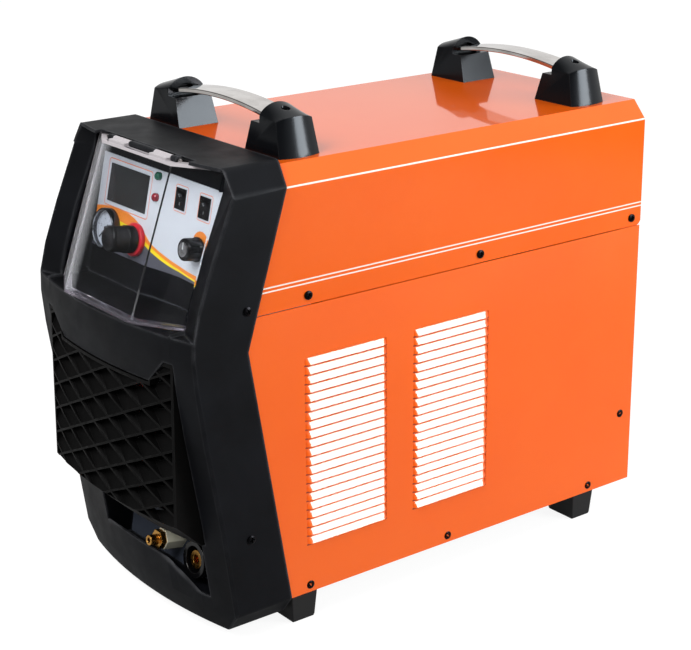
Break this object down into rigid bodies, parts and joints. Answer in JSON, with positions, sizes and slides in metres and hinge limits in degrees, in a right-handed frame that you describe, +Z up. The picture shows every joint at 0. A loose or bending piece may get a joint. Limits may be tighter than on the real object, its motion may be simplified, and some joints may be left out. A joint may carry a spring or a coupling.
{
  "type": "plasma cutter unit",
  "caption": "Plasma cutter power unit: louvred sheet steel case with strap handles, moulded front with lattice grille, clear flip-up cover over the controls, torch and socket bay.",
  "frame": {"origin": "under the middle of the whole length and width, on the floor plane under the feet", "axes": "+Z up, -Y out of the controls and grille, +X to the machine's left hand as it faces the user's right: the user who looks at the controls has +X on the right"},
  "size_m": [0.2832, 0.5964, 0.495],
  "materials": {
    "orange_paint": "satin powder coat",
    "zinc_steel": "zinc plated, satin",
    "black_plastic": "fine moulded grain",
    "dark_plastic": "matte",
    "clear_cover": "clear",
    "panel_face": "printed, satin",
    "display_lens": "smoked",
    "lamp_lens": "tinted",
    "switch_black": "gloss",
    "red_plastic": "gloss",
    "chrome": "polished",
    "brass": "turned",
    "cream_plastic": "matte",
    "connector_sheet": "satin",
    "dial_white": "printed",
    "needle_black": "matte paint",
    "lens_clear": "clear",
    "polished_steel": "polished",
    "screw_black": "black zinc",
    "rubber": "matte",
    "aluminium": "extruded",
    "core_steel": "varnished laminations",
    "copper": "enamelled wire",
    "board": "solder mask",
    "tube_plastic": "satin"
  },
  "bodies": {
    "machine": {"base_tray": "zinc_steel", "front_frame": "zinc_steel", "rear_panel": "orange_paint", "top_cover": "orange_paint", "left_side_panel": "orange_paint", "right_side_panel": "orange_paint", "front_bezel": "black_plastic", "front_grille": "black_plastic", "connector_plate": "connector_sheet", "cover_hinge_pin": "zinc_steel", "control_panel": "panel_face", "display_module": "display_lens", "indicator_lamps": "lamp_lens", "rocker_housings": "switch_black", "potentiometer": "zinc_steel", "air_regulator": "aluminium", "regulator_ring": "red_plastic", "gauge_case": "chrome", "gauge_dial": "dial_white", "gauge_lens": "lens_clear", "torch_insulator": "cream_plastic", "torch_fitting": "brass", "output_socket": "dark_plastic", "socket_contact": "brass", "front_left_post": "black_plastic", "front_right_post": "black_plastic", "rear_left_post": "black_plastic", "rear_right_post": "black_plastic", "front_handle_strap": "polished_steel", "rear_handle_strap": "polished_steel", "handle_screws": "screw_black", "case_screws": "screw_black", "front_left_foot": "rubber", "front_right_foot": "rubber", "rear_left_foot": "rubber", "rear_right_foot": "rubber", "fan_guard": "zinc_steel", "fan_frame": "dark_plastic", "breaker_body": "dark_plastic", "cable_gland": "dark_plastic", "air_inlet": "brass", "earth_stud": "brass", "heatsinks": "aluminium", "transformer_core": "core_steel", "transformer_windings": "copper", "capacitors": "tube_plastic", "main_board": "board", "control_board": "board", "solenoid_valve": "brass", "air_tube": "tube_plastic", "output_choke": "copper"},
    "window_cover": {"window_cover": "clear_cover"},
    "air_test_rocker": {"air_test_rocker": "switch_black"},
    "mode_rocker": {"mode_rocker": "switch_black"},
    "current_knob": {"current_knob": "dark_plastic", "knob_cap": "chrome"},
    "regulator_knob": {"regulator_knob": "dark_plastic"},
    "gauge_needle": {"gauge_needle": "needle_black"},
    "fan_rotor": {"fan_rotor": "dark_plastic"},
    "breaker_lever": {"breaker_lever": "dark_plastic"}
  },
  "joints": [
    {"name": "cover_hinge", "type": "hinge", "parent": "machine", "child": "window_cover", "pos_m": [0, -0.23725, 0.452], "axis": [-1, 0, 0], "range_deg": [0, 105]},
    {"name": "air_test_tilt", "type": "hinge", "parent": "machine", "child": "air_test_rocker", "pos_m": [0.0333, -0.21815, 0.40677], "axis": [-1, 0, 0], "range_deg": [0, 20]},
    {"name": "mode_tilt", "type": "hinge", "parent": "machine", "child": "mode_rocker", "pos_m": [0.074, -0.21815, 0.40677], "axis": [-1, 0, 0], "range_deg": [0, 20]},
    {"name": "current_turn", "type": "hinge", "parent": "machine", "child": "current_knob", "pos_m": [0.075, -0.2279, 0.36971], "axis": [0, -0.9763, 0.2164], "range_deg": [-140, 140]},
    {"name": "regulator_turn", "type": "hinge", "parent": "machine", "child": "regulator_knob", "pos_m": [-0.03, -0.23071, 0.35701], "axis": [0, -0.9763, 0.2164], "range_deg": [-540, 540]},
    {"name": "needle_turn", "type": "hinge", "parent": "machine", "child": "gauge_needle", "pos_m": [-0.08, -0.23364, 0.35766], "axis": [0, 0.9763, -0.2164], "range_deg": [0, 270], "stiffness_Nm_per_rad": 0.0002},
    {"name": "fan_spin", "type": "hinge", "parent": "machine", "child": "fan_rotor", "pos_m": [0, 0.24875, 0.182], "axis": [0, 1, 0], "continuous": true},
    {"name": "breaker_throw", "type": "hinge", "parent": "machine", "child": "breaker_lever", "pos_m": [-0.07, 0.26825, 0.362], "axis": [1, 0, 0], "range_deg": [0, 70]}
  ]
}
